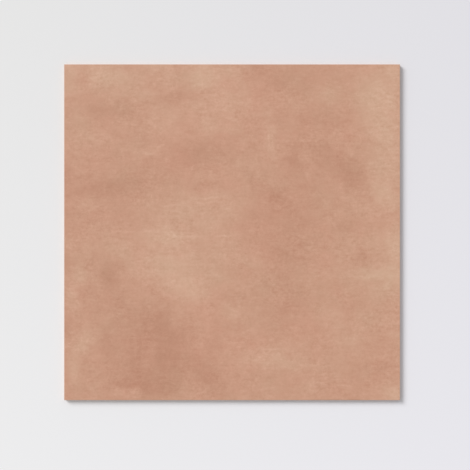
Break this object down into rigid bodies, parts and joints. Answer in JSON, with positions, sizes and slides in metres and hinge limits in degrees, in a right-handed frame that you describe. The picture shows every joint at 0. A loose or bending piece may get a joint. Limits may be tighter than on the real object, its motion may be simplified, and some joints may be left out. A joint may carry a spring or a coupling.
{
  "type": "concrete-look porcelain tile",
  "caption": "Square matt porcelain floor tile with a warm concrete-look face, ground edges, a fine bevel and a ribbed back that keys into adhesive.",
  "frame": {"origin": "middle of the bedding plane, the flat that the ribs of the back lie on", "axes": "+Z out of the walked-on face, +X to the right and +Y up in the picture, both square to the tile's edges"},
  "size_m": [0.597, 0.597, 0.009],
  "materials": {
    "porcelain": "matte"
  },
  "bodies": {
    "root": {"tile": "porcelain"}
  },
  "joints": []
}
